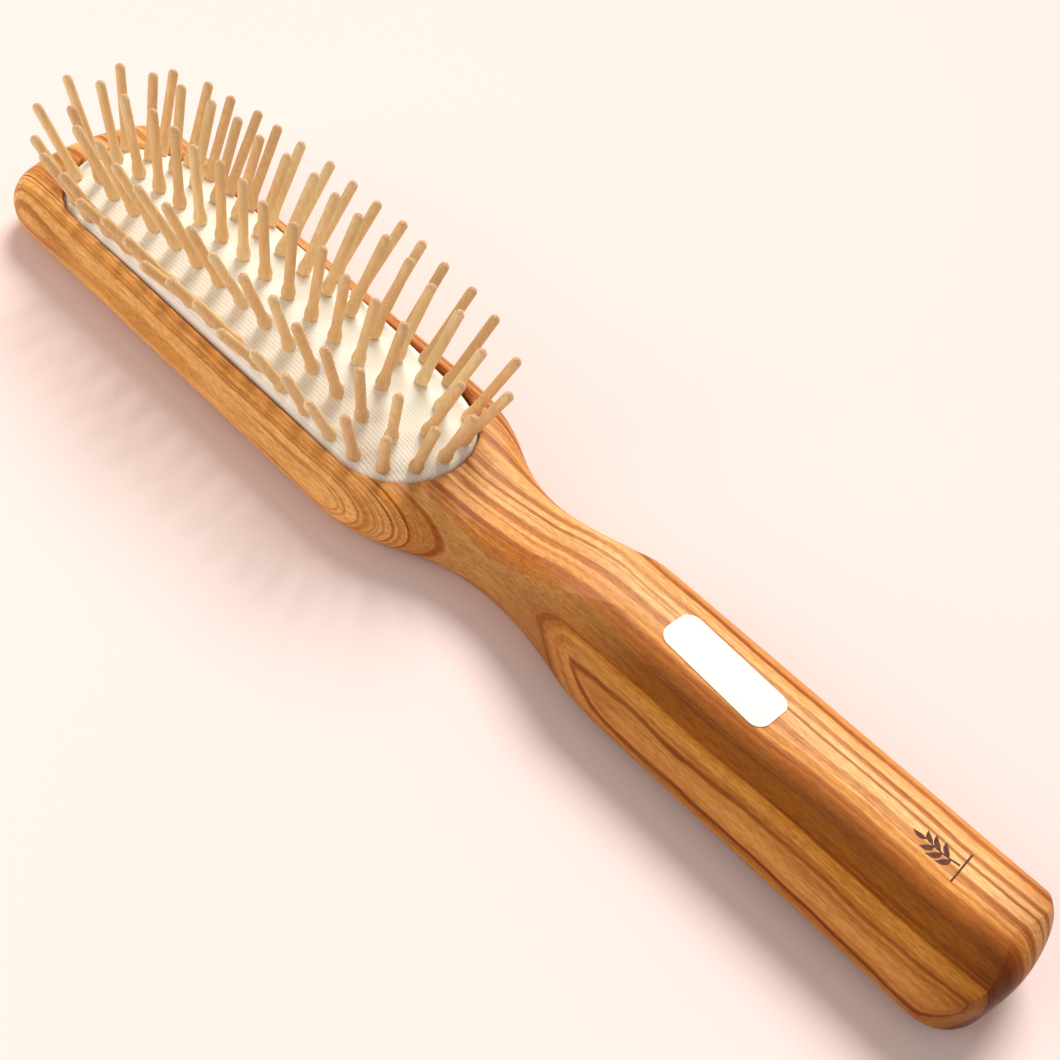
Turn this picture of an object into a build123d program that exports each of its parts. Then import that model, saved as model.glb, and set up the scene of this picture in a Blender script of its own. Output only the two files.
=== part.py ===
from build123d import *
from math import asin, cos, degrees, hypot, pi, radians, sin, sqrt, tan
import os

# Wooden pneumatic hair brush, lying on its flat back with the pins up.
# +X runs from the handle to the tip of the head, +Y is the left side, +Z is up.
# The origin is the middle of the footprint, at the height of the flat back.
# All sizes are millimetres.

os.makedirs("parts", exist_ok=True)

# wooden body, seen from above
LENGTH = 225.0
HEAD_HALF_WIDTH = 19.0
TIP_RADIUS = 40.0
TIP_CORNER = 9.5
SHOULDER_X = 16.6
NECK_X = -17.4
NECK_HALF_WIDTH = 9.7
HANDLE_START_X = -45.4
HANDLE_HALF_WIDTH = 13.4
END_RADIUS = 30.0
END_CORNER = 7.5

# wooden body, seen from the side
HEAD_THICKNESS = 11.5
HANDLE_THICKNESS = 16.0
RISE_START_X = -1.4
RISE_END_X = -39.4
EDGE_RADIUS = 5.4
CROWN_RADIUS = 26.0
RIDGE_RADIUS = 6.0
CROWN_START_X = -22.0

# oval pocket in the head, with the groove that holds the rubber
POCKET_X = 53.6
POCKET_SPAN = 74.0
POCKET_HALF_WIDTH = 14.1
POCKET_FLOOR = 4.2
POCKET_LIP = 0.5
GROOVE_HALF_WIDTH = 15.2
GROOVE_LOW = 7.1
GROOVE_HIGH = 8.7

# air cushion: a domed rubber skin with a flat flange round its foot
SKIN = 1.5
WALL = 1.0
SKIN_HALF_WIDTH = 13.4
SKIN_ROUND = 0.8
FLANGE_GAP = 0.05
CROWN_TOP = 17.2
CROSS_RADIUS = 22.5
LONG_RADIUS = 300.0
LONG_REACH = 36.0
END_ARC_RADIUS = 60.0

# turned wooden pin, measured along its own axis from the rubber
PIN_LENGTH = 17.2
PIN_RADIUS = 0.93
FOOT_RADIUS = 1.27
FOOT_TOP = 1.5
FOOT_BLEND = 4.0
NECK_RADIUS = 0.75
HOLE_CLEARANCE = 0.05
FOOT_GAP = 0.2
HEAD_GAP = 0.25
BUTTON_RADIUS = 1.1
BUTTON_HEIGHT = 0.9

# pin pattern: one straight row and two oval rings round it
CENTRE_COUNT = 12
CENTRE_FIRST_X = 21.5
CENTRE_PITCH = 6.22
MID_OFFSET = 6.6
MID_COUNT = 30
OUTER_OFFSET = 11.9
OUTER_ROW_COUNT = 12
OUTER_LEFT_FIRST_X = 20.6
OUTER_RIGHT_FIRST_X = 17.4
OUTER_PITCH = 6.16
OUTER_END_COUNT = 6
OUTER_END_OFFSET = 11.6
HEEL_FIRST_ANGLE = 98.0
HEEL_STEP = 26.6
TIP_FIRST_ANGLE = -88.0
TIP_STEP = 32.0
PINS_PER_GROUP = 3

# how far the pins lean out, in degrees: most in the middle of the sides
SIDE_LEAN = 32.0
SIDE_LEAN_LOSS = 0.35
SIDE_LEAN_REACH = 40.0
LEVEL_X = 64.0
LEAN_PER_MM = 0.25
HEEL_EXTRA = 0.6
TIP_EXTRA = 0.9
UNEVEN = 2.2

# paper label on the handle
LABEL_LENGTH = 21.4
LABEL_WIDTH = 8.0
LABEL_CORNER = 2.3
LABEL_THICKNESS = 0.15
LABEL_CENTRE = (-54.0, -2.0)
LABEL_TURN = -3.2

TIP_X = LENGTH / 2
END_X = -LENGTH / 2
HEEL_CENTRE_X = POCKET_X - POCKET_SPAN / 2
TIP_CENTRE_X = POCKET_X + POCKET_SPAN / 2


def s_bend(start, finish):
    """Two equal arcs, level at both ends, that join two points."""
    middle = ((start[0] + finish[0]) / 2, (start[1] + finish[1]) / 2)
    TangentArc(start, middle, tangent=(-1, 0))
    TangentArc(finish, middle, tangent=(1, 0))


def rounded_end(tip_x, big_radius, corner, half_width, direction):
    """Half of a shallow end arc and the corner arc that leads to the side."""
    big_x = tip_x - direction * big_radius
    reach = big_radius - corner
    corner_y = half_width - corner
    corner_x = big_x + direction * sqrt(reach**2 - corner_y**2)
    turn = degrees(asin(corner_y / reach))
    if direction > 0:
        CenterArc((big_x, 0), big_radius, 0, turn)
        CenterArc((corner_x, corner_y), corner, turn, 90 - turn)
    else:
        CenterArc((big_x, 0), big_radius, 180 - turn, turn)
        CenterArc((corner_x, corner_y), corner, 90, 90 - turn)
    return corner_x


def oval(half_width, low, high):
    """Upright block with the pocket's rounded-end outline."""
    outline = SlotCenterToCenter(POCKET_SPAN, 2 * half_width)
    return Pos(POCKET_X, 0, low) * extrude(outline, high - low)


def handle_bar(grow):
    """Long bar with the handle's crowned section, grown by a set thickness."""
    centre_z = HANDLE_THICKNESS - CROWN_RADIUS
    reach = CROWN_RADIUS - RIDGE_RADIUS
    ridge_y = HANDLE_HALF_WIDTH - RIDGE_RADIUS
    ridge_z = centre_z + sqrt(reach**2 - ridge_y**2)
    turn = degrees(asin(ridge_y / reach))
    side_y = HANDLE_HALF_WIDTH + grow
    with BuildSketch(Plane.YZ.offset(END_X - 1)) as section:
        with BuildLine():
            CenterArc((0, centre_z), CROWN_RADIUS + grow, 90 - turn, 2 * turn)
            CenterArc((ridge_y, ridge_z), RIDGE_RADIUS + grow, 0, 90 - turn)
            CenterArc((-ridge_y, ridge_z), RIDGE_RADIUS + grow, 90 + turn, 90 - turn)
            Line((side_y, ridge_z), (side_y, -1))
            Line((side_y, -1), (-side_y, -1))
            Line((-side_y, -1), (-side_y, ridge_z))
        make_face()
    return extrude(section.sketch, CROWN_START_X - END_X + 1)


def build_body():
    with BuildSketch() as plan:
        with BuildLine():
            tip_side_x = rounded_end(TIP_X, TIP_RADIUS, TIP_CORNER, HEAD_HALF_WIDTH, 1)
            Line((tip_side_x, HEAD_HALF_WIDTH), (SHOULDER_X, HEAD_HALF_WIDTH))
            s_bend((SHOULDER_X, HEAD_HALF_WIDTH), (NECK_X, NECK_HALF_WIDTH))
            s_bend((NECK_X, NECK_HALF_WIDTH), (HANDLE_START_X, HANDLE_HALF_WIDTH))
            end_side_x = rounded_end(END_X, END_RADIUS, END_CORNER, HANDLE_HALF_WIDTH, -1)
            Line((HANDLE_START_X, HANDLE_HALF_WIDTH), (end_side_x, HANDLE_HALF_WIDTH))
            mirror(about=Plane.XZ)
        make_face()
    with BuildSketch(Plane.XZ) as profile:
        with BuildLine():
            Line((TIP_X + 1, HEAD_THICKNESS), (RISE_START_X, HEAD_THICKNESS))
            s_bend((RISE_START_X, HEAD_THICKNESS), (RISE_END_X, HANDLE_THICKNESS))
            Line((RISE_END_X, HANDLE_THICKNESS), (END_X - 1, HANDLE_THICKNESS))
            Line((END_X - 1, HANDLE_THICKNESS), (END_X - 1, 0))
            Line((END_X - 1, 0), (TIP_X + 1, 0))
            Line((TIP_X + 1, 0), (TIP_X + 1, HEAD_THICKNESS))
        make_face()
    blank = extrude(plan.sketch, HANDLE_THICKNESS + 1)
    body = blank & extrude(profile.sketch, HEAD_HALF_WIDTH + 1, both=True)
    body = body.solids()[0]
    rims = []
    for edge in body.edges():
        along = edge.tangent_at(0.5)
        across_top = edge.geom_type == GeomType.LINE and abs(along.Y) > 0.9
        if abs(along.Z) < 0.9 and not across_top:
            rims.append(edge)
    body = body.fillet(EDGE_RADIUS, rims)
    head_room = Pos(CROWN_START_X, 0, -1) * Box(
        LENGTH, LENGTH, LENGTH, align=(Align.MIN, Align.CENTER, Align.MIN)
    )
    body = (body & (handle_bar(0) + head_room)).solids()[0]
    body = body - oval(POCKET_HALF_WIDTH, POCKET_FLOOR, HANDLE_THICKNESS)
    mouth = []
    for edge in body.edges():
        spot = edge.center()
        if spot.Z > HEAD_THICKNESS - 0.6 and abs(spot.X - POCKET_X) < POCKET_SPAN / 2 + 15:
            if abs(spot.Y) <= POCKET_HALF_WIDTH + 0.01:
                mouth.append(edge)
    body = body.solids()[0].fillet(POCKET_LIP, mouth)
    body = body - oval(GROOVE_HALF_WIDTH, GROOVE_LOW, GROOVE_HIGH)
    return body.solids()[0]


def crown(x, y):
    """Point on top of the cushion above (x, y)."""
    reach = abs(x - POCKET_X)
    fall = CROSS_RADIUS - sqrt(CROSS_RADIUS**2 - y**2)
    change = asin(LONG_REACH / LONG_RADIUS)
    radius = LONG_RADIUS
    centre_x = 0.0
    centre_z = CROWN_TOP - LONG_RADIUS
    if reach > (radius - fall) * sin(change):
        centre_x = (LONG_RADIUS - END_ARC_RADIUS) * sin(change)
        centre_z += (LONG_RADIUS - END_ARC_RADIUS) * cos(change)
        radius = END_ARC_RADIUS
    slope = asin((reach - centre_x) / (radius - fall))
    return Vector(x, y, centre_z + (radius - fall) * cos(slope))


def pin_direction(x, y):
    """Pins lean out to their own side, back near the heel and forward near the tip.

    They are set by hand, so each one is also a little off its neighbours' line.
    """
    end_share = ((x - POCKET_X) / SIDE_LEAN_REACH) ** 2
    side = SIDE_LEAN * (abs(y) / OUTER_OFFSET) ** 0.6 * (1 - SIDE_LEAN_LOSS * end_share)
    along = LEAN_PER_MM * (x - LEVEL_X)
    along -= HEEL_EXTRA * max(HEEL_CENTRE_X - x, 0)
    along += TIP_EXTRA * max(x - TIP_CENTRE_X - MID_OFFSET, 0)
    along += UNEVEN * sin(2.9 * x + 1.3 * y)
    side = (side if y > 0 else -side) + UNEVEN * sin(1.7 * x - 2.3 * y)
    return Vector(tan(radians(along)), tan(radians(side)), 1).normalized()


def dome(sink):
    """Block under a surface curved both ways, a set depth below the crown."""
    long_radius = LONG_RADIUS - sink
    end_radius = END_ARC_RADIUS - sink
    cross_radius = CROSS_RADIUS - sink
    change = asin(LONG_REACH / LONG_RADIUS)
    half_span = POCKET_HALF_WIDTH + 2
    centre_z = CROWN_TOP - LONG_RADIUS
    end_x = (LONG_RADIUS - END_ARC_RADIUS) * sin(change)
    end_z = centre_z + (LONG_RADIUS - END_ARC_RADIUS) * cos(change)
    reach = radians(24)
    pieces = []
    spans = [(0.0, centre_z, long_radius, -change, change),
             (end_x, end_z, end_radius, change, change + reach),
             (-end_x, end_z, end_radius, -change - reach, -change)]
    for hub_x, hub_z, radius, start, finish in spans:
        top_y = min(half_span, cross_radius - 0.5)
        top_z = radius - cross_radius + sqrt(cross_radius**2 - top_y**2)
        with BuildSketch(Plane.YZ) as section:
            with BuildLine():
                ThreePointArc((-top_y, top_z), (0, radius), (top_y, top_z))
                Line((top_y, top_z), (top_y, radius - 16))
                Line((top_y, radius - 16), (-top_y, radius - 16))
                Line((-top_y, radius - 16), (-top_y, top_z))
            make_face()
        started = section.sketch.rotate(Axis.Y, degrees(start))
        swept = revolve(started, Axis.Y, degrees(finish - start))
        pieces.append(Pos(POCKET_X + hub_x, 0, hub_z) * swept)
    return pieces[0] + pieces[1] + pieces[2]


def build_membrane(seats):
    outer = oval(SKIN_HALF_WIDTH, GROOVE_LOW + FLANGE_GAP, CROWN_TOP + 1) & dome(0)
    outer = outer.solids()[0]
    top_rim = []
    for edge in outer.edges():
        spot = edge.position_at(0.5)
        off_axis = max(abs(spot.X - POCKET_X) - POCKET_SPAN / 2, 0)
        on_wall = hypot(off_axis, spot.Y) > SKIN_HALF_WIDTH - 0.01
        if on_wall and spot.Z > GROOVE_HIGH + 0.5 and abs(edge.tangent_at(0.5).Z) < 0.9:
            top_rim.append(edge)
    outer = outer.fillet(SKIN_ROUND, top_rim)
    inner = oval(SKIN_HALF_WIDTH - WALL, 0, CROWN_TOP) & dome(SKIN)
    flange = oval(GROOVE_HALF_WIDTH - FLANGE_GAP, GROOVE_LOW + FLANGE_GAP, GROOVE_HIGH - FLANGE_GAP)
    skin = (outer + flange) - inner
    skin = skin - oval(SKIN_HALF_WIDTH - WALL, 0, GROOVE_HIGH)
    drill = Cylinder(NECK_RADIUS + HOLE_CLEARANCE, 4 * SKIN)
    holes = []
    for seat, direction in seats:
        holes.append(Plane(seat, z_dir=direction).location * drill)
    return (skin - holes).solids()[0]


def build_pin():
    """One turned pin with its axis on Z and the top of the rubber at zero."""
    neck_bottom = -SKIN - HEAD_GAP
    button_low = neck_bottom - BUTTON_HEIGHT
    corner = 0.35
    with BuildSketch(Plane.XZ) as half:
        with BuildLine():
            Line((0, button_low), (BUTTON_RADIUS - corner, button_low))
            RadiusArc((BUTTON_RADIUS - corner, button_low), (BUTTON_RADIUS, button_low + corner), -corner)
            Line((BUTTON_RADIUS, button_low + corner), (BUTTON_RADIUS, neck_bottom))
            Line((BUTTON_RADIUS, neck_bottom), (NECK_RADIUS, neck_bottom))
            Line((NECK_RADIUS, neck_bottom), (NECK_RADIUS, FOOT_GAP))
            Line((NECK_RADIUS, FOOT_GAP), (FOOT_RADIUS - 0.2, FOOT_GAP))
            Spline([(FOOT_RADIUS - 0.2, FOOT_GAP), (FOOT_RADIUS, FOOT_TOP), (PIN_RADIUS, FOOT_BLEND)],
                   tangents=[(0.8, 1), (0, 1)])
            Line((PIN_RADIUS, FOOT_BLEND), (PIN_RADIUS, PIN_LENGTH - PIN_RADIUS))
            RadiusArc((PIN_RADIUS, PIN_LENGTH - PIN_RADIUS), (0, PIN_LENGTH), -PIN_RADIUS)
            Line((0, PIN_LENGTH), (0, button_low))
        make_face()
    return revolve(half.sketch, Axis.Z).solids()[0]


def ring_point(offset, travel):
    """Point on the oval at a set offset, measured along it from the heel end."""
    quarter = pi * offset / 2
    total = 2 * POCKET_SPAN + 2 * pi * offset
    travel = travel % total
    side = 1
    if travel > total / 2:
        travel = total - travel
        side = -1
    if travel < quarter:
        angle = travel / offset
        return HEEL_CENTRE_X - offset * cos(angle), side * offset * sin(angle)
    if travel < quarter + POCKET_SPAN:
        return HEEL_CENTRE_X + travel - quarter, side * offset
    angle = (travel - quarter - POCKET_SPAN) / offset
    return TIP_CENTRE_X + offset * sin(angle), side * offset * cos(angle)


def pin_pattern():
    """Plan position of every pin, gathered under the name of its node."""
    nodes = {}
    for i in range(CENTRE_COUNT):
        nodes[f"pin_centre_{i + 1:02d}"] = [(CENTRE_FIRST_X + i * CENTRE_PITCH, 0.0)]
    step = (2 * POCKET_SPAN + 2 * pi * MID_OFFSET) / MID_COUNT
    for i in range(MID_COUNT):
        nodes[f"pin_mid_{i + 1:02d}"] = [ring_point(MID_OFFSET, i * step)]
    left = []
    right = []
    for i in range(OUTER_ROW_COUNT):
        left.append((OUTER_LEFT_FIRST_X + i * OUTER_PITCH, OUTER_OFFSET))
        right.append((OUTER_RIGHT_FIRST_X + i * OUTER_PITCH, -OUTER_OFFSET))
    heel = []
    tip = []
    for i in range(OUTER_END_COUNT):
        angle = radians(HEEL_FIRST_ANGLE + i * HEEL_STEP)
        heel.append((HEEL_CENTRE_X + OUTER_END_OFFSET * cos(angle), OUTER_END_OFFSET * sin(angle)))
        angle = radians(TIP_FIRST_ANGLE + i * TIP_STEP)
        tip.append((TIP_CENTRE_X + OUTER_END_OFFSET * cos(angle), OUTER_END_OFFSET * sin(angle)))
    for name, spots in (("left", left), ("right", right), ("heel", heel), ("tip", tip)):
        for group in range(len(spots) // PINS_PER_GROUP):
            first = group * PINS_PER_GROUP
            nodes[f"pins_outer_{name}_{group + 1}"] = spots[first:first + PINS_PER_GROUP]
    return nodes


def build_label():
    """Paper sheet that follows the crown of the handle."""
    outline = RectangleRounded(LABEL_LENGTH, LABEL_WIDTH, LABEL_CORNER)
    stamp = Pos(*LABEL_CENTRE) * Rot(0, 0, LABEL_TURN) * extrude(outline, 2 * HANDLE_THICKNESS)
    return ((stamp & handle_bar(LABEL_THICKNESS)) - handle_bar(0)).solids()[0]


pattern = pin_pattern()
pin = build_pin()
all_seats = []
for node, spots in pattern.items():
    pins = []
    for x, y in spots:
        seat = crown(x, y)
        direction = pin_direction(x, y)
        all_seats.append((seat, direction))
        pins.append(Plane(seat, z_dir=direction).location * pin)
    shape = pins[0] if len(pins) == 1 else Compound(children=pins)
    export_step(shape, f"parts/{node}.step")

export_step(build_membrane(all_seats), "parts/cushion_membrane.step")
export_step(build_body(), "parts/brush_body.step")
export_step(build_label(), "parts/label_sticker.step")
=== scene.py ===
import math
import random

import bmesh
import bpy
from mathutils import Matrix, Vector, noise


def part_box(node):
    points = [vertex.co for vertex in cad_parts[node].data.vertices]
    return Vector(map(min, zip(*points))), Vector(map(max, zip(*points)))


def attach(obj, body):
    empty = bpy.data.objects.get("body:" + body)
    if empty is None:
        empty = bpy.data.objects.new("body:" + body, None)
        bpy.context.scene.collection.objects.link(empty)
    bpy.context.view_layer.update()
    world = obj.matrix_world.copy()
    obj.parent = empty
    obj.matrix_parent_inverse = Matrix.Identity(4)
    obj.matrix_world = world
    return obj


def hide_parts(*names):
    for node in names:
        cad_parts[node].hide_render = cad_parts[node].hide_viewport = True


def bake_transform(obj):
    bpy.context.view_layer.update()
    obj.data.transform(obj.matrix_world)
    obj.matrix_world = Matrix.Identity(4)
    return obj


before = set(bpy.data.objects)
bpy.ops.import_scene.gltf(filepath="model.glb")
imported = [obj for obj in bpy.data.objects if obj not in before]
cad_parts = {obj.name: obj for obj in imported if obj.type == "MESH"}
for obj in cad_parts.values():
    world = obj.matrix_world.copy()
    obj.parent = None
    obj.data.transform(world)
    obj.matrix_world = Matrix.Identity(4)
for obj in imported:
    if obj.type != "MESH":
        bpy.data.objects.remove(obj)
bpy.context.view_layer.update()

MM = 0.001
scene = bpy.context.scene

# ---------------------------------------------------------------- places taken from the CAD parts
BODY_LOW, BODY_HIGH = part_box("brush_body")
SKIN_LOW, SKIN_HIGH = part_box("cushion_membrane")


# ---------------------------------------------------------------- small helpers for node trees
class Tree:
    """Short names for building a material's nodes."""

    def __init__(self, name):
        self.mat = bpy.data.materials.new(name)
        self.mat.use_nodes = True
        self.nodes = self.mat.node_tree.nodes
        self.links = self.mat.node_tree.links
        self.nodes.clear()
        self.out = self.nodes.new("ShaderNodeOutputMaterial")
        self.shader = self.nodes.new("ShaderNodeBsdfPrincipled")
        self.links.new(self.shader.outputs[0], self.out.inputs[0])

    def link(self, source, target):
        self.links.new(source, target)

    def coords(self, kind="Object"):
        return self.nodes.new("ShaderNodeTexCoord").outputs[kind]

    def mapping(self, vector, scale, offset=(0, 0, 0)):
        node = self.nodes.new("ShaderNodeMapping")
        node.inputs["Scale"].default_value = scale
        node.inputs["Location"].default_value = offset
        self.link(vector, node.inputs["Vector"])
        return node.outputs[0]

    def noise(self, vector, scale, detail=2.0, roughness=0.5):
        node = self.nodes.new("ShaderNodeTexNoise")
        node.inputs["Scale"].default_value = scale
        node.inputs["Detail"].default_value = detail
        node.inputs["Roughness"].default_value = roughness
        self.link(vector, node.inputs["Vector"])
        return node.outputs["Fac"]

    def streaks(self, vector, scale, offset=(0, 0, 0), detail=1.0, roughness=0.5):
        """Noise with its own scale along each axis."""
        return self.noise(self.mapping(vector, scale, offset), 1.0, detail, roughness)

    def wave(self, vector, direction, scale, distortion=0.0):
        node = self.nodes.new("ShaderNodeTexWave")
        node.bands_direction = direction
        node.inputs["Scale"].default_value = scale
        node.inputs["Distortion"].default_value = distortion
        self.link(vector, node.inputs["Vector"])
        return node.outputs["Fac"]

    def ramp(self, factor, stops):
        """Colour ramp through (place, value) stops, where a value is a grey or a linear colour."""
        node = self.nodes.new("ShaderNodeValToRGB")
        elements = node.color_ramp.elements
        while len(elements) < len(stops):
            elements.new(0.5)
        for element, (place, colour) in zip(elements, stops):
            element.position = place
            value = colour if hasattr(colour, "__len__") else (colour, colour, colour)
            element.color = (*value, 1.0)
        self.link(factor, node.inputs[0])
        return node.outputs[0]

    def math(self, kind, a, b=0.0, c=None):
        node = self.nodes.new("ShaderNodeMath")
        node.operation = kind
        for socket, value in zip(node.inputs, (a, b, c)):
            if value is None:
                continue
            if isinstance(value, (int, float)):
                socket.default_value = value
            else:
                self.link(value, socket)
        return node.outputs[0]

    def mix(self, factor, a, b, kind="MIX"):
        node = self.nodes.new("ShaderNodeMix")
        node.data_type = "RGBA"
        node.blend_type = kind
        for socket, value in ((node.inputs[0], factor), (node.inputs[6], a), (node.inputs[7], b)):
            if isinstance(value, (int, float)):
                socket.default_value = value
            elif isinstance(value, tuple):
                socket.default_value = (*value, 1.0)
            else:
                self.link(value, socket)
        return node.outputs[2]

    def shade(self, base, factor, stops):
        """Base colour multiplied by a ramp of a factor."""
        return self.mix(1.0, base, self.ramp(factor, stops), "MULTIPLY")

    def stain(self, base, mask, strength, colour):
        """Base colour with another colour mixed in where a mask is on."""
        return self.mix(self.math("MULTIPLY", mask, strength), base, colour)

    def progress(self, value, start, length):
        """Share of the way along a stretch, 0 at its start and 1 after its length."""
        return self.math("MULTIPLY_ADD", value, 1 / length, -start / length)

    def threads(self, value, level, stops):
        """Mask of thin lines where a value passes a level."""
        return self.ramp(self.math("ABSOLUTE", self.math("SUBTRACT", value, level)), stops)

    def split(self, vector):
        node = self.nodes.new("ShaderNodeSeparateXYZ")
        self.link(vector, node.inputs[0])
        return node.outputs[0], node.outputs[1], node.outputs[2]

    def join(self, x, y, z):
        """Vector of two linked values and a constant."""
        node = self.nodes.new("ShaderNodeCombineXYZ")
        self.link(x, node.inputs[0])
        self.link(y, node.inputs[1])
        node.inputs[2].default_value = z
        return node.outputs[0]

    def bump(self, height, strength, distance):
        node = self.nodes.new("ShaderNodeBump")
        node.inputs["Strength"].default_value = strength
        node.inputs["Distance"].default_value = distance
        self.link(height, node.inputs["Height"])
        self.link(node.outputs[0], self.shader.inputs["Normal"])

    def finish(self, base, **settings):
        """Give the shader its base colour and its other inputs, each a constant or a link."""
        self.link(base, self.shader.inputs["Base Color"])
        for name, value in settings.items():
            socket = self.shader.inputs[name.replace("_", " ")]
            if isinstance(value, float):
                socket.default_value = value
            else:
                self.link(value, socket)
        return self.mat


def srgb(r, g, b):
    """Linear colour of an ordinary screen colour, 0 to 255."""
    linear = []
    for value in (r, g, b):
        share = value / 255
        linear.append(share / 12.92 if share <= 0.04045 else ((share + 0.055) / 1.055) ** 2.4)
    return tuple(linear)


# ---------------------------------------------------------------- olive wood
# broad bands of colour, the palest of which, along the top of the handle, are wood colour lightened
# into a painted sheen: place across the grain, and screen colour
WOOD_BANDS_AND_TOP_SHEEN = [
    (0.00, (190, 110, 44)), (0.07, (212, 132, 58)), (0.125, (230, 152, 76)), (0.20, (244, 172, 98)),
    (0.30, (255, 196, 132)), (0.40, (255, 206, 148)), (0.47, (254, 192, 122)), (0.525, (242, 172, 96)),
    (0.560, (216, 142, 62)), (0.59, (172, 102, 26)), (0.630, (128, 70, 6)), (0.715, (138, 78, 12)),
    (0.755, (178, 116, 36)), (0.790, (200, 138, 60)), (0.870, (222, 158, 82)), (0.953, (252, 192, 116)),
]
# dark annual lines: place across the grain, and half width
WOOD_LINES = [
    (0.120, 0.024), (0.228, 0.026), (0.330, 0.030), (0.384, 0.016), (0.462, 0.032),
    (0.556, 0.024), (0.740, 0.020), (0.848, 0.014), (0.936, 0.016),
]
# how the grain wanders: reach in metres, noise scale along each axis, and detail
GRAIN_BENDS = [
    (0.0085, (11, 14, 14), 1.0),
    (0.0030, (34, 60, 60), 2.0),
    (0.0003, (170, 420, 420), 1.0),
]
RING_TILT = 0.55
STEEP_FROM = (8.0 * MM, 13.2 * MM)
STEEP_GAIN = 0.8
GRAIN_DRIFT = 0.012
BANDS_START = -12 * MM
BANDS_WIDTH = 40 * MM
# where the look changes along the brush: toward the head, and toward the handle's end
HEAD_START = -60 * MM
HEAD_LENGTH = 100 * MM
END_START = -100 * MM
END_LENGTH = -10 * MM


def across_grain(t, place):
    """Place across the grain, in metres, bent slowly so that the streaks wander."""
    _, y, z = t.split(place)
    across = t.math("MULTIPLY_ADD", z, RING_TILT, y)
    # the near wall of handle and head cuts the rings more steeply
    for limit in STEEP_FROM:
        beyond = t.math("MAXIMUM", t.math("SUBTRACT", y, limit), 0.0)
        across = t.math("MULTIPLY_ADD", beyond, STEEP_GAIN, across)
    for reach, scale, detail in GRAIN_BENDS:
        bend = t.math("SUBTRACT", t.streaks(place, scale, detail=detail), 0.5)
        across = t.math("MULTIPLY_ADD", bend, reach, across)
    return across


def bands_and_top_sheen(t, span, toward_head):
    """Wide bands of colour from the far side to the near side, plainer and paler on the head; the
    palest bands, along the top of the handle, are partly painted sheen.
    """
    bands = t.ramp(span, [(at, srgb(*tone)) for at, tone in WOOD_BANDS_AND_TOP_SHEEN])
    plain = t.ramp(toward_head, [(0.14, 0.0), (0.48, 0.48)])
    return t.mix(plain, bands, srgb(255, 196, 120))


def annual_lines(t, base, place, span):
    """Crisp dark lines, deeper in some stretches than in others."""
    stops = []
    for centre, half in WOOD_LINES:
        stops += [(centre - half, 0.0), (centre, 1.0), (centre + half, 0.0)]
    crisp = t.ramp(t.ramp(span, stops), [(0.30, 0.0), (0.46, 0.55), (0.66, 1.0)])
    patches = t.streaks(place, (16, 150, 150), (0.7, 0.1, 0.2))
    depth = t.ramp(patches, [(0.34, 0.50), (0.58, 1.0)])
    darker = t.mix(1.0, base, (0.50, 0.29, 0.16), "MULTIPLY")
    return t.mix(t.math("MULTIPLY", crisp, depth), base, darker)


def veins(t, base, place, across, drift):
    """Thin brown veins that come and go along the brush."""
    winding = t.noise(t.join(across, drift, 0.31), 230.0, 1.0)
    vein = t.threads(winding, 0.52, [(0.0, 1.0), (0.016, 0.95), (0.030, 0.25), (0.05, 0.0)])
    patches = t.streaks(place, (22, 70, 70), (0.2, 0.9, 0.4))
    share = t.ramp(patches, [(0.40, 0.1), (0.60, 1.0)])
    return t.stain(base, t.math("MULTIPLY", vein, share), 0.55, srgb(160, 80, 26))


def strands(t, base, across, drift, toward_head):
    """Long brown strands that show on the head."""
    winding = t.noise(t.join(across, drift, 0.77), 420.0, 2.0)
    strand = t.threads(winding, 0.5, [(0.0, 1.0), (0.022, 0.9), (0.036, 0.3), (0.06, 0.0)])
    on_head = t.ramp(toward_head, [(0.20, 0.0), (0.45, 1.0)])
    return t.stain(base, t.math("MULTIPLY", strand, on_head), 0.58, srgb(172, 88, 26))


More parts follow.
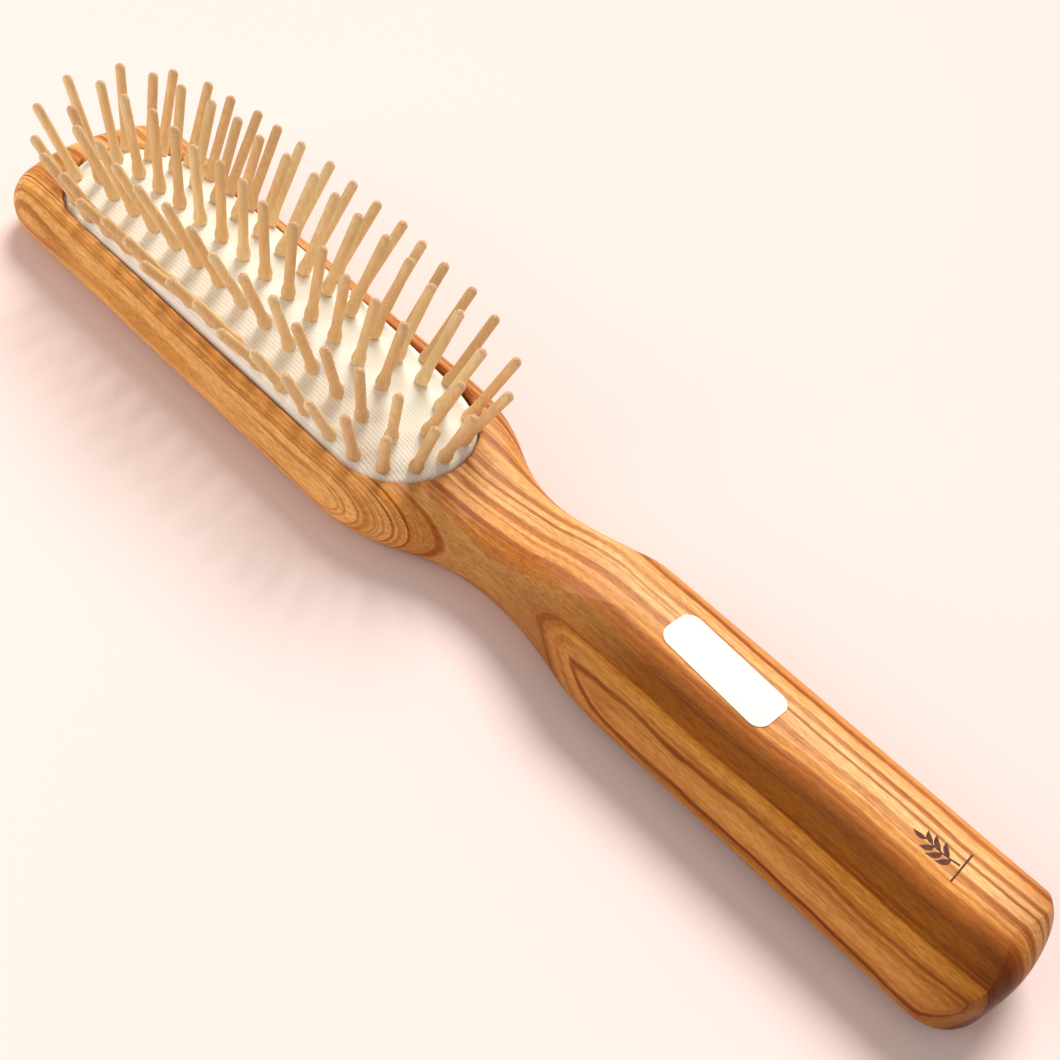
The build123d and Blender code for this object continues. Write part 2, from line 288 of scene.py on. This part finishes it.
def olive_wood():
    """Oiled olive wood: long streaks that run along the brush, brown veins, fine fibres and pores."""
    t = Tree("olive_wood")
    place = t.coords()
    x = t.split(place)[0]
    toward_head = t.progress(x, HEAD_START, HEAD_LENGTH)
    across = across_grain(t, place)
    drift = t.math("MULTIPLY", x, GRAIN_DRIFT)
    span = t.progress(across, BANDS_START, BANDS_WIDTH)
    # these bands carry a painted sheen along the top of the handle
    base = bands_and_top_sheen(t, span, toward_head)
    # wide and narrow streaks
    lines = t.join(across, drift, 0.0)
    wide = t.noise(lines, 210.0, 1.0)
    narrow = t.noise(lines, 560.0, 2.0, 0.55)
    base = t.shade(base, wide, [(0.38, (0.84, 0.75, 0.60)), (0.47, (0.95, 0.92, 0.86)), (0.56, 1.0)])
    base = t.shade(base, narrow, [(0.37, (0.78, 0.66, 0.48)), (0.43, (0.95, 0.92, 0.87)), (0.54, 1.0)])
    base = annual_lines(t, base, place, span)
    base = veins(t, base, place, across, drift)
    base = strands(t, base, across, drift, toward_head)
    # fine fibres, flecks and pores along the grain
    fibre = t.streaks(place, (150, 2400, 2400), detail=3.0, roughness=0.6)
    flecks = t.streaks(place, (620, 3200, 3200), (0.1, 0.4, 0.6), detail=2.0)
    pores = t.streaks(place, (420, 3600, 3600), (0.5, 0.2, 0.8), detail=2.0)
    pore = t.ramp(pores, [(0.62, 0.0), (0.74, 1.0)])
    base = t.shade(base, fibre, [(0.32, (0.84, 0.77, 0.68)), (0.60, 1.0)])
    base = t.shade(base, flecks, [(0.34, (0.84, 0.78, 0.70)), (0.60, (1.06, 1.08, 1.12))])
    base = t.stain(base, pore, 0.22, srgb(122, 62, 18))
    # painted shade: the colour darkens over the last centimetre toward the handle's end, which faces
    # away from the sun
    toward_end = t.progress(x, END_START, END_LENGTH)
    base = t.shade(base, toward_end, [(0.05, 1.0), (0.95, (0.64, 0.52, 0.40))])
    t.bump(t.math("SUBTRACT", t.math("MULTIPLY", fibre, 0.5), pore), strength=0.22, distance=0.12 * MM)
    return t.finish(base, Roughness=t.ramp(fibre, [(0.2, 0.36), (0.8, 0.50)]),
                    Specular_IOR_Level=0.12, Coat_Weight=0.03, Coat_Roughness=0.28)


# ---------------------------------------------------------------- other materials
def pin_wood(name, tone, seed):
    """Pale turned hardwood: fine grain, rough end grain, a slightly different tone on each pin."""
    t = Tree(name)
    place = t.coords()
    grain = t.streaks(place, (1500, 1500, 220), (seed, seed * 0.7, 0), detail=3.0, roughness=0.6)
    speck = t.streaks(place, (2600, 2600, 2600), (seed, 0, 0), detail=2.0, roughness=0.6)
    patch = t.streaks(place, (150, 150, 60), (0, seed, 0))
    dark = tuple(value - 20 for value in tone)
    light = tuple(min(value + 12, 255) for value in tone)
    base = t.ramp(grain, [(0.25, srgb(*dark)), (0.75, srgb(*light))])
    base = t.mix(t.ramp(patch, [(0.40, 0.0), (0.62, 0.45)]), base, srgb(222, 184, 132))
    dots = t.ramp(speck, [(0.60, 0.0), (0.72, 1.0)])
    base = t.stain(base, dots, 0.30, srgb(176, 128, 76))
    # end grain on the rounded tip
    facing_up = t.split(t.coords("Normal"))[2]
    tip = t.ramp(facing_up, [(0.58, 0.0), (0.86, 0.75)])
    end_grain = t.ramp(speck, [(0.35, srgb(176, 118, 78)), (0.65, srgb(222, 170, 128))])
    base = t.mix(tip, base, end_grain)
    t.bump(t.math("ADD", grain, t.math("MULTIPLY", speck, 0.6)), strength=0.35, distance=0.08 * MM)
    return t.finish(base, Roughness=t.ramp(grain, [(0.2, 0.48), (0.8, 0.64)]),
                    Subsurface_Weight=0.04, Subsurface_Scale=2.0 * MM)


def rubber():
    """Cream natural rubber with a fine cloth-like rib moulded into it, and painted shade in the valleys
    of the rib.
    """
    t = Tree("cushion_rubber")
    place = t.coords()
    ribs = t.wave(place, "Y", 500.0, distortion=0.6)
    cross_ribs = t.wave(place, "X", 560.0)
    weave = t.math("ADD", ribs, t.math("MULTIPLY", cross_ribs, 0.45))
    cloud = t.noise(place, 140.0, 3.0)
    base = t.ramp(cloud, [(0.3, srgb(255, 249, 236)), (0.7, srgb(255, 253, 244))])
    # painted shade: the rib's valleys are darker in colour as well as bumped
    base = t.mix(0.28, base, t.ramp(weave, [(0.15, srgb(208, 180, 144)), (0.8, srgb(255, 252, 244))]))
    t.bump(weave, strength=0.45, distance=0.08 * MM)
    return t.finish(base, Roughness=0.72, Subsurface_Weight=0.12, Subsurface_Scale=3.0 * MM)


def paper():
    """White coated paper with a faint fibre."""
    t = Tree("label_paper")
    fibre = t.streaks(t.coords(), (900, 1400, 900), detail=4.0, roughness=0.6)
    base = t.ramp(fibre, [(0.3, srgb(222, 221, 219)), (0.7, srgb(234, 233, 231))])
    t.bump(fibre, strength=0.15, distance=0.04 * MM)
    return t.finish(base, Roughness=t.ramp(fibre, [(0.3, 0.42), (0.7, 0.5)]))


def burnt():
    """Brown burned line with a scorched, uneven tone."""
    t = Tree("burnt_wood")
    char = t.noise(t.coords(), 1800.0, 3.0, 0.6)
    base = t.ramp(char, [(0.3, srgb(70, 28, 14)), (0.7, srgb(112, 54, 28))])
    t.bump(char, strength=0.4, distance=0.1 * MM)
    return t.finish(base, Roughness=0.75)


def floor_material():
    """Pale matt floor with a hardly visible cloudiness."""
    t = Tree("floor")
    cloud = t.noise(t.coords(), 3.0, 2.0)
    base = t.ramp(cloud, [(0.3, srgb(243, 223, 220)), (0.7, srgb(246, 227, 224))])
    return t.finish(base, Roughness=0.8)


def assign(thing, material):
    thing.data.materials.clear()
    thing.data.materials.append(material)


PIN_TONES = [(246, 218, 168), (238, 205, 153), (250, 224, 176), (230, 196, 147), (242, 209, 156)]
SEED_STEP = 1.7
CHOICE_SEED = 41
PINS = [name for name in sorted(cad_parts) if name.startswith("pin")]

assign(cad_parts["brush_body"], olive_wood())
assign(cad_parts["label_sticker"], paper())
pin_materials = [pin_wood(f"pin_wood_{i + 1}", tone, SEED_STEP * i) for i, tone in enumerate(PIN_TONES)]
rng = random.Random(CHOICE_SEED)
for name in PINS:
    assign(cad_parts[name], rng.choice(pin_materials))

# ---------------------------------------------------------------- where each pin stands
# length of a pin under the rubber, then how its ends are found in the mesh
PIN_BELOW = 2.65 * MM
WELD = 0.001 * MM
END_BAND = 0.25 * MM
AXIS_PASSES = 3


def separate_solids(mesh):
    """Lists of the vertices of each separate solid in a mesh."""
    seen = set()
    solids = []
    for start in mesh.verts:
        if start in seen:
            continue
        seen.add(start)
        solid = [start]
        for vert in solid:
            for edge in vert.link_edges:
                other = edge.other_vert(vert)
                if other not in seen:
                    seen.add(other)
                    solid.append(other)
        solids.append(solid)
    return solids


def pin_ends(solid):
    """Middle of the button under the rubber, and middle of the rounded tip, of one pin."""
    low = min(solid, key=lambda vert: vert.co.z).co
    high = max(solid, key=lambda vert: vert.co.z).co
    axis = (high - low).normalized()
    for _ in range(AXIS_PASSES):
        along = [(vert.co - low).dot(axis) for vert in solid]
        ends = []
        for limit in (min(along), max(along)):
            near = [vert.co for vert, at in zip(solid, along) if abs(at - limit) < END_BAND]
            ends.append(sum(near, Vector()) / len(near))
        axis = (ends[1] - ends[0]).normalized()
    return ends


def pin_seats(node):
    """Where each pin of a CAD node comes out of the rubber."""
    work = bmesh.new()
    work.from_mesh(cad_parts[node].data)
    bmesh.ops.remove_doubles(work, verts=work.verts, dist=WELD)
    seats = []
    for solid in separate_solids(work):
        button, tip = pin_ends(solid)
        seats.append(button + (tip - button).normalized() * PIN_BELOW)
    work.free()
    return seats


SEATS = [seat for name in PINS for seat in pin_seats(name)]

# ---------------------------------------------------------------- rubber skin of the air cushion
CENTRE_X = (SKIN_LOW.x + SKIN_HIGH.x) / 2
FLANGE_HALF = (SKIN_HIGH.y - SKIN_LOW.y) / 2
HALF_SPAN = (SKIN_HIGH.x - SKIN_LOW.x) / 2 - FLANGE_HALF
FLANGE_TOP = 8.65 * MM
SKIN_HALF = 13.7 * MM
SKIN_DEPTH = 1.5 * MM
WALL = 1.0 * MM
SHOULDER = 0.8 * MM
SHOULDER_SLOPE = 0.5
SLIT_HALF = 0.15 * MM

# the dome: one arc across, and along it a long arc that turns into a shorter one at each end
CROSS_RADIUS = 22.5 * MM
LONG_RADIUS = 300 * MM
LONG_REACH = 36 * MM
END_ARC_RADIUS = 60 * MM
ARC_CHANGE = math.asin(LONG_REACH / LONG_RADIUS)

# the rubber round each pin
COLLAR_RADIUS = 2.3 * MM
COLLAR_RISE = 0.16 * MM
RIPPLE_HEIGHT = 0.04 * MM
RIPPLE_SCALE = 130
RIPPLE_PLACE = 3.1

# how finely the skin is divided
SIDE_STEPS = 190
ARC_STEPS = 96
CROWN_STEPS = 34
SHOULDER_STEPS = 6
WALL_STEPS = 4
INSIDE_STEPS = 12


def crown_height(x, y, sink=0.0):
    """Height of the domed rubber above a point of the plan, or of a dome sunk below it."""
    cross, long, end = CROSS_RADIUS - sink, LONG_RADIUS - sink, END_ARC_RADIUS - sink
    reach = abs(x - CENTRE_X)
    fall = cross - math.sqrt(max(cross**2 - y**2, 0))
    radius, hub_x, hub_z = long, 0.0, SKIN_HIGH.z - LONG_RADIUS
    if reach > (long - fall) * math.sin(ARC_CHANGE):
        hub_x = (LONG_RADIUS - END_ARC_RADIUS) * math.sin(ARC_CHANGE)
        hub_z += (LONG_RADIUS - END_ARC_RADIUS) * math.cos(ARC_CHANGE)
        radius = end
    slope = math.asin((reach - hub_x) / (radius - fall))
    return hub_z + (radius - fall) * math.cos(slope)


def rubber_collar(x, y):
    """The rubber stands up a little round the foot of each pin, and is never quite even."""
    rise = RIPPLE_HEIGHT * noise.noise(Vector((x * RIPPLE_SCALE, y * RIPPLE_SCALE, RIPPLE_PLACE)))
    for seat in SEATS:
        away = math.hypot(x - seat.x, y - seat.y)
        if away < COLLAR_RADIUS:
            share = 1 - away / COLLAR_RADIUS
            rise += COLLAR_RISE * share * share * (3 - 2 * share)
    return rise


def oval_ring(half):
    """Points of the rounded-end oval at a set distance from its middle line."""
    points = []
    for sign in (1, -1):
        for i in range(SIDE_STEPS):
            along = HALF_SPAN - 2 * HALF_SPAN * i / SIDE_STEPS
            points.append((CENTRE_X + sign * along, sign * half))
        for i in range(ARC_STEPS):
            angle = sign * math.pi / 2 + math.pi * i / ARC_STEPS
            hub = CENTRE_X - sign * HALF_SPAN
            points.append((hub + half * math.cos(angle), half * math.sin(angle)))
    return points


def level_ring(half, z):
    return [(x, y, z) for x, y in oval_ring(half)]


def crown_rings():
    """Rings from the middle slit out to where the shoulder starts."""
    rings = []
    flat = SKIN_HALF - SHOULDER
    for i in range(CROWN_STEPS + 1):
        half = SLIT_HALF + (flat - SLIT_HALF) * i / CROWN_STEPS
        rings.append([(x, y, crown_height(x, y) + rubber_collar(x, y)) for x, y in oval_ring(half)])
    return rings


def shoulder_rings():
    """Rings down the rounded shoulder."""
    rings = []
    flat = SKIN_HALF - SHOULDER
    start = [crown_height(x, y) for x, y in oval_ring(flat)]
    for i in range(1, SHOULDER_STEPS + 1):
        angle = math.pi / 2 * i / SHOULDER_STEPS
        out = SHOULDER * math.sin(angle)
        drop = SHOULDER * (1 - math.cos(angle)) + out * SHOULDER_SLOPE
        rings.append([(x, y, top - drop) for (x, y), top in zip(oval_ring(flat + out), start)])
    return rings


def wall_rings(edge):
    """Rings down the wall, round the flange and back in under it."""
    rings = []
    for i in range(1, WALL_STEPS + 1):
        rings.append([(x, y, z + (FLANGE_TOP - z) * i / WALL_STEPS) for x, y, z in edge])
    rings.append(level_ring(FLANGE_HALF, FLANGE_TOP))
    rings.append(level_ring(FLANGE_HALF, SKIN_LOW.z))
    rings.append(level_ring(SKIN_HALF - WALL, SKIN_LOW.z))
    return rings


def inside_rings():
    """Rings of the hollow side of the dome, back to the middle slit."""
    rings = []
    for i in range(INSIDE_STEPS):
        share = i / INSIDE_STEPS
        half = (SKIN_HALF - WALL) * (1 - share) + SLIT_HALF * share
        rings.append([(x, y, crown_height(x, y, SKIN_DEPTH)) for x, y in oval_ring(half)])
    return rings


def close_slit(mesh, row, inside):
    """Faces that fill the narrow oval inside the first or the last ring."""
    lap = row + [row[0]]
    far = 2 * SIDE_STEPS + ARC_STEPS
    faces = [(lap[i], lap[i + 1], lap[far - i - 1], lap[far - i]) for i in range(SIDE_STEPS)]
    faces.append(lap[SIDE_STEPS:SIDE_STEPS + ARC_STEPS + 1])
    faces.append(lap[far:])
    for face in faces:
        mesh.faces.new(face[::-1] if inside else face)


def finish_mesh(mesh, name, material):
    """Turn a bmesh into a named object of one material."""
    bmesh.ops.recalc_face_normals(mesh, faces=mesh.faces)
    data = bpy.data.meshes.new(name)
    mesh.to_mesh(data)
    mesh.free()
    thing = bpy.data.objects.new(name, data)
    scene.collection.objects.link(thing)
    assign(thing, material)
    return thing


def build_skin():
    """One closed skin: crown, shoulder, wall, flange and hollow inside, ring after ring."""
    mesh = bmesh.new()
    rings = crown_rings() + shoulder_rings()
    rings += wall_rings(rings[-1])
    rings += inside_rings()
    rows = [[mesh.verts.new(point) for point in ring] for ring in rings]
    for row, following in zip(rows, rows[1:]):
        for i in range(len(row)):
            j = (i + 1) % len(row)
            mesh.faces.new((row[i], following[i], following[j], row[j]))
    close_slit(mesh, rows[0], inside=False)
    close_slit(mesh, rows[-1], inside=True)
    skin = finish_mesh(mesh, "cushion_skin", rubber())
    for face in skin.data.polygons:
        face.use_smooth = True
    return skin


skin = build_skin()
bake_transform(skin)
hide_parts("cushion_membrane")

# ---------------------------------------------------------------- burned sprig near the handle's end
# lengths along the sprig start at the middle of the mark and grow toward the head
CROWN_RADIUS = 26 * MM
MARK_X = -93.4 * MM
MARK_Y = -3.0 * MM
STEM_START = -3.4 * MM
STEM_LENGTH = 5.6 * MM
STEM_BOW = 0.45 * MM
STEM_TURN = 2.6
STEM_WIDTH = 0.42 * MM
STEM_TAPER = 0.16 * MM
STEM_STEPS = 20
# pairs of leaves: step of the stem that they grow from, length, and angle to the stem in degrees
LEAF_PAIRS = [(5, 2.6 * MM, 52), (10, 2.7 * MM, 48), (15, 2.3 * MM, 44)]
LEAF_WIDTH = 1.05 * MM
LEAF_BOW = 0.12
LEAF_SWELL = 0.85
LEAF_POINT = 0.06
LEAF_STEPS = 14
END_LEAF_LENGTH = 2.3 * MM
END_LEAF_WIDTH = 1.0 * MM
END_LEAF_ANGLE = 4
BAR_ALONG = -3.75 * MM
BAR_HALF = 3.2 * MM
BAR_WIDTH = 0.34 * MM
BAR_STEPS = 16
# section of a stroke: share of its half width, and lift above the wood
STROKE_SECTION = [(-1.0, -0.02 * MM), (-0.7, 0.03 * MM), (0.7, 0.03 * MM), (1.0, -0.02 * MM)]


def on_handle(along, across, lift):
    """Point on the crowned top of the handle, from the middle of the mark."""
    y = MARK_Y + across
    z = BODY_HIGH.z - CROWN_RADIUS + math.sqrt(CROWN_RADIUS**2 - y**2)
    return Vector((MARK_X + along, y, z + lift))


def stroke(mesh, line, widths):
    """Flat burned stroke along a line of (along, across) points, with a width at each."""
    rails = []
    for i, (u, v) in enumerate(line):
        before, after = line[max(i - 1, 0)], line[min(i + 1, len(line) - 1)]
        du, dv = after[0] - before[0], after[1] - before[1]
        size = math.hypot(du, dv)
        nu, nv = -dv / size, du / size
        rail = []
        for share, lift in STROKE_SECTION:
            offset = widths[i] / 2 * share
            rail.append(mesh.verts.new(on_handle(u + nu * offset, v + nv * offset, lift)))
        rails.append(rail)
    for a, b in zip(rails, rails[1:]):
        for i in range(len(a) - 1):
            mesh.faces.new((a[i], a[i + 1], b[i + 1], b[i]))


def leaf(mesh, foot, angle, length, width):
    """Pointed leaf drawn as one stroke that swells in the middle."""
    line, widths = [], []
    for i in range(LEAF_STEPS + 1):
        share = i / LEAF_STEPS
        bow = LEAF_BOW * length * math.sin(math.pi * share)
        u = foot[0] + share * length * math.cos(angle) - bow * math.sin(angle)
        v = foot[1] + share * length * math.sin(angle) + bow * math.cos(angle)
        line.append((u, v))
        widths.append(width * max(math.sin(math.pi * share**LEAF_SWELL), LEAF_POINT))
    stroke(mesh, line, widths)


def build_mark():
    """Sprig with three pairs of leaves and one at its end, growing from a bar across the handle."""
    mesh = bmesh.new()
    stem, widths = [], []
    for i in range(STEM_STEPS + 1):
        share = i / STEM_STEPS
        stem.append((STEM_START + STEM_LENGTH * share, STEM_BOW * math.sin(share * STEM_TURN)))
        widths.append(STEM_WIDTH - STEM_TAPER * share)
    stroke(mesh, stem, widths)
    for step, length, angle in LEAF_PAIRS:
        leaf(mesh, stem[step], math.radians(angle), length, LEAF_WIDTH)
        leaf(mesh, stem[step + 1], -math.radians(angle), length, LEAF_WIDTH)
    leaf(mesh, stem[-1], math.radians(END_LEAF_ANGLE), END_LEAF_LENGTH, END_LEAF_WIDTH)
    bar = [(BAR_ALONG, BAR_HALF * (2 * i / BAR_STEPS - 1)) for i in range(BAR_STEPS + 1)]
    stroke(mesh, bar, [BAR_WIDTH] * len(bar))
    return finish_mesh(mesh, "burned_sprig", burnt())


mark = build_mark()
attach(mark, "handle_and_head")

# ---------------------------------------------------------------- floor, light, camera
FLOOR_SIZE = 3.0
FLOOR_GAP = 0.1 * MM
SUN_TOWARD = Vector((0.46, -0.90, 1.12))
SUN_ANGLE = 0.50
SUN_POWER = 3.15
SUN_COLOUR = (1.0, 0.95, 0.89)
FILL_PLACE = Vector((0.35, 0.62, 0.42))
FILL_SIZE = 0.6
FILL_POWER = 2.2
FILL_COLOUR = (1.0, 0.94, 0.86)
SKY_COLOUR = (1.0, 0.95, 0.90, 1.0)
SKY_POWER = 0.38
CAMERA_PLACE = Vector((-0.09010, 0.11179, 0.17950))
CAMERA_RIGHT = Vector((-0.70378847, -0.69470341, 0.14855626))
CAMERA_UP = Vector((0.61840191, -0.49616962, 0.60942168))
SENSOR_WIDTH = 36.0
LENS = 44.925

bpy.ops.mesh.primitive_plane_add(size=FLOOR_SIZE, location=(0, 0, BODY_LOW.z - FLOOR_GAP))
floor = bpy.context.object
floor.name = "floor"
assign(floor, floor_material())


def add_light(name, kind, power, colour):
    """New light of a kind, power and colour; the caller sets the rest."""
    data = bpy.data.lights.new(name, kind)
    data.energy = power
    data.color = colour
    lamp = bpy.data.objects.new(name, data)
    scene.collection.objects.link(lamp)
    return lamp


def key_light():
    """Soft-edged sun from the far side, which gives the brush its shadow."""
    lamp = add_light("key", "SUN", SUN_POWER, SUN_COLOUR)
    lamp.data.angle = SUN_ANGLE
    lamp.rotation_euler = SUN_TOWARD.to_track_quat("Z", "Y").to_euler()


def fill_light():
    """Large weak disc that lifts the shadows on the near side."""
    lamp = add_light("fill", "AREA", FILL_POWER, FILL_COLOUR)
    lamp.data.shape = "DISK"
    lamp.data.size = FILL_SIZE
    lamp.location = FILL_PLACE
    lamp.rotation_euler = (-FILL_PLACE).to_track_quat("-Z", "Y").to_euler()


def sky_light():
    """Even warm light from all round."""
    world = bpy.data.worlds.new("studio")
    world.use_nodes = True
    background = world.node_tree.nodes["Background"]
    background.inputs["Color"].default_value = SKY_COLOUR
    background.inputs["Strength"].default_value = SKY_POWER
    scene.world = world


def main_camera():
    """Camera that looks down on the near side of the brush from beside the handle."""
    data = bpy.data.cameras.new("camera")
    data.sensor_width = SENSOR_WIDTH
    data.lens = LENS
    turn = Matrix((CAMERA_RIGHT, CAMERA_UP, CAMERA_RIGHT.cross(CAMERA_UP))).transposed()
    camera = bpy.data.objects.new("camera", data)
    camera.matrix_world = Matrix.Translation(CAMERA_PLACE) @ turn.to_4x4()
    scene.collection.objects.link(camera)
    return camera


key_light()
fill_light()
sky_light()
scene.camera = main_camera()
scene.view_settings.view_transform = "Standard"
